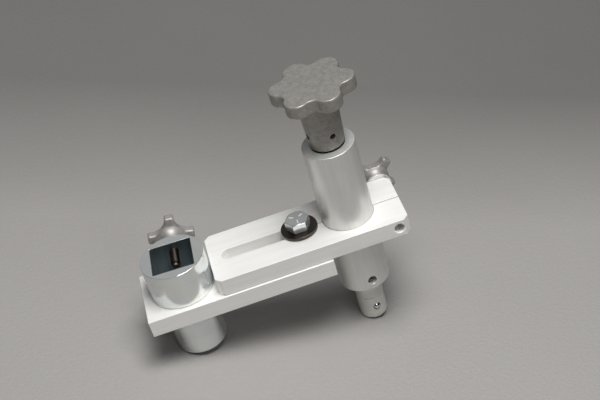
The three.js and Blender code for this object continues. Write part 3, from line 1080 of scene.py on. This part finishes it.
@dataclass
class ThumbScrew:
    """A grip on a threaded rod that points along +Y."""

    label: str
    place: Matrix
    end: float
    seat: float
    phase: float
    body: Body
    finish: Finish
    thread: float = 3.15
    pitch: float = 1.27
    in_grip: float = 11.0

    def build(self) -> None:
        """Builds the threaded rod and the grip."""
        grip = CrossGrip().build(f"{self.label}_cross_grip")
        move(grip, self.place @ Matrix.Translation((0, 0, self.seat)) @ about("Z", self.phase))
        dress(grip, CAST_STAINLESS, self.body, f"{self.label}_knob", crisp=False)
        ends = (self.end, self.seat + self.in_grip)
        screw = threaded(f"{self.label}_threaded_rod", self.thread, self.pitch, *ends)
        move(screw, self.place)
        dress(screw, self.finish, self.body, f"{self.label}_screw", crisp=False)


@dataclass
class ThumbScrews:
    """Both thumb screws, the socket screw's swivel tip and the clamp screw's washer."""

    socket: Ring = (1.0, 0.0, 32.4, -2.5)
    clamp: Ring = (150.1, 1.3, 19.65, 0.0)
    tip: tuple[float, float, float] = (2.3, -2.1, 0.3)
    neck: Point = (1.0, 2.6)
    washer: Ring = (3.475, 9.3, 25.7, 27.3)

    def build(self) -> None:
        """Builds the screws, then the tip and the washer that don't turn with them."""
        socket, clamp = along_y(*self.socket), along_y(*self.clamp)
        ThumbScrew("socket", socket, 0.6, 22.6, 10, Body.SOCKET_SCREW, BLACKENED).build()
        ThumbScrew("clamp", clamp, -13.5, 27.6, 45, Body.CLAMP_SCREW, BRIGHT).build()
        radius, low, high = self.tip
        thin, tall = self.neck
        rings = [(radius - 0.5, low), (radius, low + 0.5), (radius, high), (thin, high)]
        pad = turned("swivel_pad", rings + [(thin, high + tall)], SMALL_FACETS)
        soften(pad, 0.12)
        dress(move(pad, socket), BRONZE, Body.SOCKET_FEED, "socket_screw_tip")
        washer = hollow("clamp_screw_washer", self.washer)
        soften(washer, 0.3)
        dress(move(washer, clamp), WASHER, Body.CLAMP_FEED, "clamp_washer")


# ---- pivot
@dataclass
class Pivot:
    """The hex bolt with a chamfered, marked head, and its washer."""

    x: float = 87.2
    y: float = 1.3
    flats: float = 15.0
    seat: float = 29.0
    head: float = 7.2
    shank: float = 4.7
    pitch: float = INCH / 16
    length: float = INCH
    washer: Ring = (5.05, 12.7, 26.3, 28.7)
    marks: tuple[float, float, float] = (2.2, 5.4, 0.42)

    def crown(self, corner: float, top: float) -> Object:
        """Turns the shape that chamfers the head's corners.

        Args:
            corner: the head's radius at its corners.
            top: height of the head's top.

        Returns:
            The shape, which the head is cut to.
        """
        wide, flat = corner + 3, self.flats / 2
        rings = [(corner - 0.6, self.seat - 0.01), (corner + 0.1, self.seat + 0.5)]
        rings += [(wide, self.seat + 1), (wide, top - 2.6), (flat + 0.2, top - 0.35)]
        return turned("crown", rings + [(flat - 0.7, top)])

    def build(self) -> None:
        """Builds the bolt and the washer."""
        top = self.seat + self.head
        corner = self.flats / math.sqrt(3)
        bolt = prism("hex_bolt", repeated([(corner, 0.0)], 0.0, 6), self.seat, top)
        combine(bolt, "INTERSECT", self.crown(corner, top))
        soften(bolt, 0.22, 2, 24)
        near, far, half = self.marks
        for azimuth in (30, 150, 270):
            mark = block("mark", (near, -half, top - 0.5), (far, half, top + 0.3))
            soften(mark, 0.1, 2)
            combine(bolt, "UNION", move(mark, about("Z", azimuth)))
        ends = (self.seat - self.length, self.seat + 1)
        combine(bolt, "UNION", threaded("shank", self.shank, self.pitch, *ends))
        shift(bolt, self.x, self.y)
        # The tops of the head's raised marks get near-white zinc as a painted highlight.
        raised = (HEAD_MARK_ZINC_PAINTED_HIGHLIGHT, lambda face: face.center.z > (top + 0.05) * MM)
        dress(bolt, ZINC, Body.BOLT, "pivot_bolt", patches=[raised])
        washer = hollow("pivot_bolt_washer", self.washer)
        soften(washer, 0.4, 3)
        dress(shift(washer, self.x, self.y), BLACKENED, Body.PIVOT, "pivot_washer")


# ---- column and spindle
def flat_end(face: MeshPolygon) -> bool:
    """Whether a face looks up or down."""
    return abs(face.normal.z) > 0.6


@dataclass
class Column:
    """The column tube with its tapped hole."""

    x: float = 121.4
    y: float = 1.3
    wall: Ring = (11.3, 17.8, -30.5, 86.7)
    hole: tuple[float, float, float] = (3.25, -81, -23.2)

    def build(self) -> None:
        """Turns the tube and drills its wall."""
        tube = hollow("column_sleeve", self.wall, FINE_FACETS)
        soften(tube, 0.55, 3)
        inner, outer = self.wall[:2]
        radius, *place = self.hole
        drill = radial(rod(radius, inner - TOOL_PAST, outer + TOOL_PAST), *place)
        combine(tube, "DIFFERENCE", drill, radial(sink(radius, 0.5, outer), *place))
        shift(tube, self.x, self.y)
        dress(tube, SATIN, Body.COLUMN, "column_tube", patches=[(FACED, flat_end)])


@dataclass
class Spindle:
    """The ground spindle with its ball and spring, and the lobed knob on top."""

    x: float = 121.4
    y: float = 1.3
    radius: float = 9.75
    bottom: float = -65.1
    stub: Point = (6.35, 113.0)
    ball: Ring = (2.5, 8.45, -79, -54.7)
    groove: tuple[float, float, float] = (8.9, -28.6, -27.0)
    shoulder: float = 85.5
    press: float = 1.1
    pocket: Point = (0.3, -2.0)
    nose: tuple[float, float, float] = (1.9, 0.5, 0.55)
    coil: tuple[float, float, int] = (1.45, 0.3, 5)

    def shaft(self) -> None:
        """Turns the spindle and cuts the ball's pocket."""
        deep, low, high = self.groove
        thin, tall = self.stub
        r, (taper, round_off, face) = self.radius, self.nose
        rings = [(r - taper, self.bottom), (r - round_off, self.bottom + face)]
        rings += [(r, self.bottom + taper), (r, low), (deep, low), (deep, high), (r, high)]
        rings += [(r, self.shoulder), (thin, self.shoulder), (thin, tall)]
        shaft = turned("detent_spindle", rings)
        size, _, *place = self.ball
        play, foot = self.pocket
        combine(shaft, "DIFFERENCE", radial(rod(size + play, foot, r + TOOL_PAST), *place))
        soften(shaft, 0.25, 2, 50)
        dress(shift(shaft, self.x, self.y), GROUND, Body.SPINDLE, "spindle")

    def detent(self) -> None:
        """Rounds a subdivided cube into the ball."""
        size, out, *place = self.ball
        half = size / math.sqrt(3)
        ball = block("detent_bearing_ball", (-half,) * 3, (half,) * 3)
        edit_all()
        bpy.ops.mesh.subdivide(number_cuts=11)
        bpy.ops.object.mode_set(mode="OBJECT")
        for vertex in ball.data.vertices:
            vertex.co = vertex.co.normalized() * size
        radial(shift(ball, 0, 0, out), *place)
        dress(shift(ball, self.x, self.y), BRIGHT, Body.BALL, "detent_ball", crisp=False)

    def spring(self) -> None:
        """Winds the spring behind the ball, at one length; the script doesn't shorten it as the
        ball is pressed in.
        """
        size, out, azimuth, z = self.ball
        low, high = self.pocket[1] + 0.1, out - size - 0.1
        coil, wire, turns = self.coil
        pitch = (high - low - 2 * wire) / turns
        section = arc((coil, low + wire), wire, 0, 1.8 * math.pi, 9)
        spring = loop("detent_coil_spring", [(x, 0, height) for x, height in section])
        modify(
            spring, "SCREW", axis="Z", angle=2 * math.pi, screw_offset=pitch, iterations=turns,
            steps=SPRING_STEPS, render_steps=SPRING_STEPS, use_merge_vertices=False,
        )
        bpy.ops.object.mode_set(mode="EDIT")
        close_up()
        radial(spring, azimuth, z)
        dress(shift(spring, self.x, self.y), BRIGHT, Body.SPINDLE, "detent_spring", crisp=False)
        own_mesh(spring)

    def build(self) -> None:
        """Builds the shaft, the ball, its spring and the knob."""
        self.shaft()
        self.detent()
        self.spring()
        LobedKnob(self.x, self.y).build()


@dataclass
class LobedKnob:
    """The spindle's knob: a six-lobed plate with rounded rims over a tapered hub."""

    x: float
    y: float
    top: float = 134.8
    under: float = 125.4
    tip: Point = (19.4, 8.6)
    valley: float = 21.4
    lobes: int = 6
    phase: float = -11.5
    bottom: float = 87.6
    bore: Point = (6.65, 113.3)
    screw: Ring = (2.1, 5.0, 16.0, 98.0)
    screw_azimuths: Point = (-75, -165)

    def outline(self) -> list[Point]:
        """Draws the plate: tip arcs joined by valley arcs that touch both neighbours.

        Returns:
            Points round the plate.
        """
        half = math.pi / self.lobes
        (a, b), v = self.tip, self.valley
        reach = a * math.cos(half)
        c = (a * a + v * v - 2 * reach * v - b * b) / (2 * (b - v + reach))
        x, y = (v + c) * math.cos(half), (v + c) * math.sin(half)
        lean = math.atan2(y, x - a)
        lobe = arc((a, 0), b, -lean, lean, 20)
        lobe += arc((x, y), c, lean - math.pi, 2 * half - lean - math.pi, 12)[1:-1]
        return repeated(lobe, math.radians(self.phase), self.lobes)

    def build(self) -> None:
        """Joins plate and hub as one casting, bores it, drills it and dresses it."""
        knob = prism("lobed_hand_knob", self.outline(), self.under, self.top)
        bevel_where(knob, level, 1.0, 4)
        hub = [(11.1, self.bottom), (11.8, self.bottom + 0.7), (13.6, self.under - 1.2)]
        hub += [(14.1, self.under - 0.3), (14.1, self.under + 3)]
        combine(knob, "UNION", turned("hub", hub))
        cast(knob, 0.45, 4)
        radius, end = self.bore
        hole, near, far, height = self.screw
        tools = [rod(radius, self.bottom - TOOL_PAST, end, FACETS)]
        tools += [radial(rod(hole, near, far), azimuth, height) for azimuth in self.screw_azimuths]
        combine(knob, "DIFFERENCE", *tools)
        dress(shift(knob, self.x, self.y), CAST_GREY, Body.SPINDLE, "spindle_knob", crisp=False)


# ---- small CAD pieces that stay
KEPT_NODES = {
    "socket_set_screw": BLACKENED,
    "upper_bush": BRONZE,
    "lower_bush": BRONZE,
    # The bush screw's dark steel is painted shade inside the tube's drilled hole.
    "bush_screw": SET_SCREW_STEEL_PAINTED_SHADE,
    "thrust_washer": NYLON,
    "retaining_ring": BLACKENED,
    "hub_screw_1": BLACKENED,
    "hub_screw_2": BLACKENED,
}


def finish_kept_nodes() -> None:
    """Gives the CAD nodes that stay their procedural finishes."""
    for node, finish in KEPT_NODES.items():
        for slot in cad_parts[node].material_slots:
            slot.material = finish.material()
        LOG.info("%s: CAD node, finished as %s", node, finish.name)


# ---- studio
@dataclass
class Studio:
    """A pale floor that curves up behind, with painted shade greying its far part, soft overhead
    light and the camera.

    The floor is tilted, because the object leans on its spigot and its spindle's end.
    Places and sizes are in metres, and lamps hang over the floor's own axes.
    """

    contact: Vector = Vector((-0.017, 0, -0.035))
    lean: float = 13.1
    eye: Vector = Vector((0.06255, -0.6691, 0.5581))
    right: Vector = Vector((0.94661, -0.22120, -0.23451))
    camera_up: Vector = Vector((0.32031, 0.56314, 0.76176))
    lens: float = 75.96
    floor_size: float = 2.6
    flat_to: float = 0.24
    sweep_radius: float = 1.1
    sweep_turn: float = 1.15
    front: tuple[Colour, Colour] = ((0.36, 0.346, 0.333), (0.395, 0.38, 0.367))
    # The rear colours are painted shade: the far floor and its sweep are coloured darker than the
    # front. Slant and fade set where that painted shade starts and ends.
    rear_painted_shade: tuple[Colour, Colour] = ((0.195, 0.186, 0.178), (0.22, 0.21, 0.202))
    slant: float = 0.3
    fade: Point = (0.15, 0.36)
    overhead: float = 24.8
    fill: float = 1.15
    back: float = 2.2
    ambient: float = 0.010
    horizon: float = 0.22

    def axes(self) -> Matrix:
        """Turns the floor's own axes, +Z along its normal, into the frame's."""
        return Matrix.Translation(self.contact) @ about("Y", self.lean)

    def floor(self) -> None:
        """Lays the floor and curves its far side up."""
        bpy.ops.object.select_all(action="DESELECT")
        size = self.floor_size
        bpy.ops.mesh.primitive_grid_add(x_subdivisions=40, y_subdivisions=120, size=size)
        floor = bpy.context.object
        floor.name = "floor_sheet"
        for vertex in floor.data.vertices:
            past = vertex.co.y - self.flat_to
            if past > 0:
                turn = min(past / self.sweep_radius, self.sweep_turn)
                vertex.co.y = self.flat_to + self.sweep_radius * math.sin(turn)
                vertex.co.z = self.sweep_radius * (1 - math.cos(turn))
        move(floor, self.axes())
        bpy.ops.object.shade_smooth()
        floor.data.materials.append(self.sheet())

    def sheet(self) -> Material:
        """Makes the floor's pale material, with painted shade greying it towards the back, and a
        faint pebbled grain.

        Returns:
            The material.
        """
        made, graph, shader = new_material("pale_floor")
        place = graph.place()
        tone = graph.noise(place, 6.0, 3)
        axes = graph.add("ShaderNodeSeparateXYZ", Vector=place).outputs
        # Painted shade: past the fade the floor takes the darker rear colours, sooner towards +X.
        depth = graph.math("ADD", axes["Y"], graph.times(axes["X"], self.slant))
        far = graph.spread(depth, *self.fade)
        near_and_far = (graph.blend(tone, *self.front), graph.blend(tone, *self.rear_painted_shade))
        grain = graph.noise(place, 420.0, 5)
        bump = graph.add("ShaderNodeBump", Strength=0.7, Distance=0.0008, Height=grain)
        graph.put(shader, "Base Color", graph.blend(far, *near_and_far))
        graph.put(shader, "Roughness", 0.6)
        graph.put(shader, "Normal", bump.outputs[0])
        return made

    def lamp(self, name: str, place: Colour, size: Point, power: float) -> None:
        """Adds a soft rectangular lamp that faces the object and that no view shows.

        Args:
            name: the lamp's name.
            place: where it hangs, on the floor's own axes.
            size: its width and height.
            power: its power in watts.
        """
        light = bpy.data.lights.new(name, "AREA")
        light.shape = "RECTANGLE"
        light.size, light.size_y = size
        light.energy = power
        obj = bpy.data.objects.new(name, light)
        bpy.context.scene.collection.objects.link(obj)
        spot, aim = self.axes() @ Vector(place), self.axes() @ Vector((0.06, 0, 0))
        obj.location = spot
        obj.rotation_mode = "QUATERNION"
        obj.rotation_quaternion = (aim - spot).to_track_quat("-Z", "Y")
        obj.visible_camera = False

    def lamps(self) -> None:
        """Hangs the overhead light, a weak fill and a dim card behind, in a nearly dark room."""
        self.lamp("overhead", (0.03, -0.36, 1.5), (0.85, 0.62), self.overhead)
        self.lamp("fill", (0.24, -0.95, 0.66), (0.3, 0.4), self.fill)
        self.lamp("back_card", (0.0, 1.5, 1.15), (2.6, 1.5), self.back)
        world = bpy.data.worlds.new("soft_room")
        world.use_nodes = True
        graph = Graph(world.node_tree)
        seen = graph.add("ShaderNodeLightPath").outputs["Is Camera Ray"]
        glow = graph.spread(seen, 0.0, 1.0, (self.ambient, self.horizon))
        back = graph.add("ShaderNodeBackground", Color=(0.95, 0.97, 1.0, 1), Strength=glow)
        graph.add("ShaderNodeOutputWorld", Surface=back.outputs[0])
        bpy.context.scene.world = world

    def camera(self) -> None:
        """Sets the camera."""
        data = bpy.data.cameras.new("camera")
        data.lens, data.sensor_width = self.lens, 36.0
        data.clip_start, data.clip_end = 0.02, 20.0
        obj = bpy.data.objects.new("camera", data)
        bpy.context.scene.collection.objects.link(obj)
        back = self.right.cross(self.camera_up)
        turn = Matrix((self.right, self.camera_up, back)).transposed().to_4x4()
        obj.matrix_world = Matrix.Translation(self.eye) @ turn
        bpy.context.scene.camera = obj

    def build(self) -> None:
        """Sets up camera, floor and lamps."""
        self.camera()
        self.floor()
        self.lamps()
        bpy.context.scene.view_settings.view_transform = "Standard"


def main() -> None:
    """Builds the studio and every sub-assembly."""
    logging.basicConfig(level=logging.INFO, format="%(levelname)s %(message)s")
    for part in (Studio, LowerBar, Socket, UpperBar, Pivot, ThumbScrews, Column, Spindle):
        LOG.info("building %s", part.__name__)
        part().build()
    finish_kept_nodes()


if __name__ == "__main__":
    main()
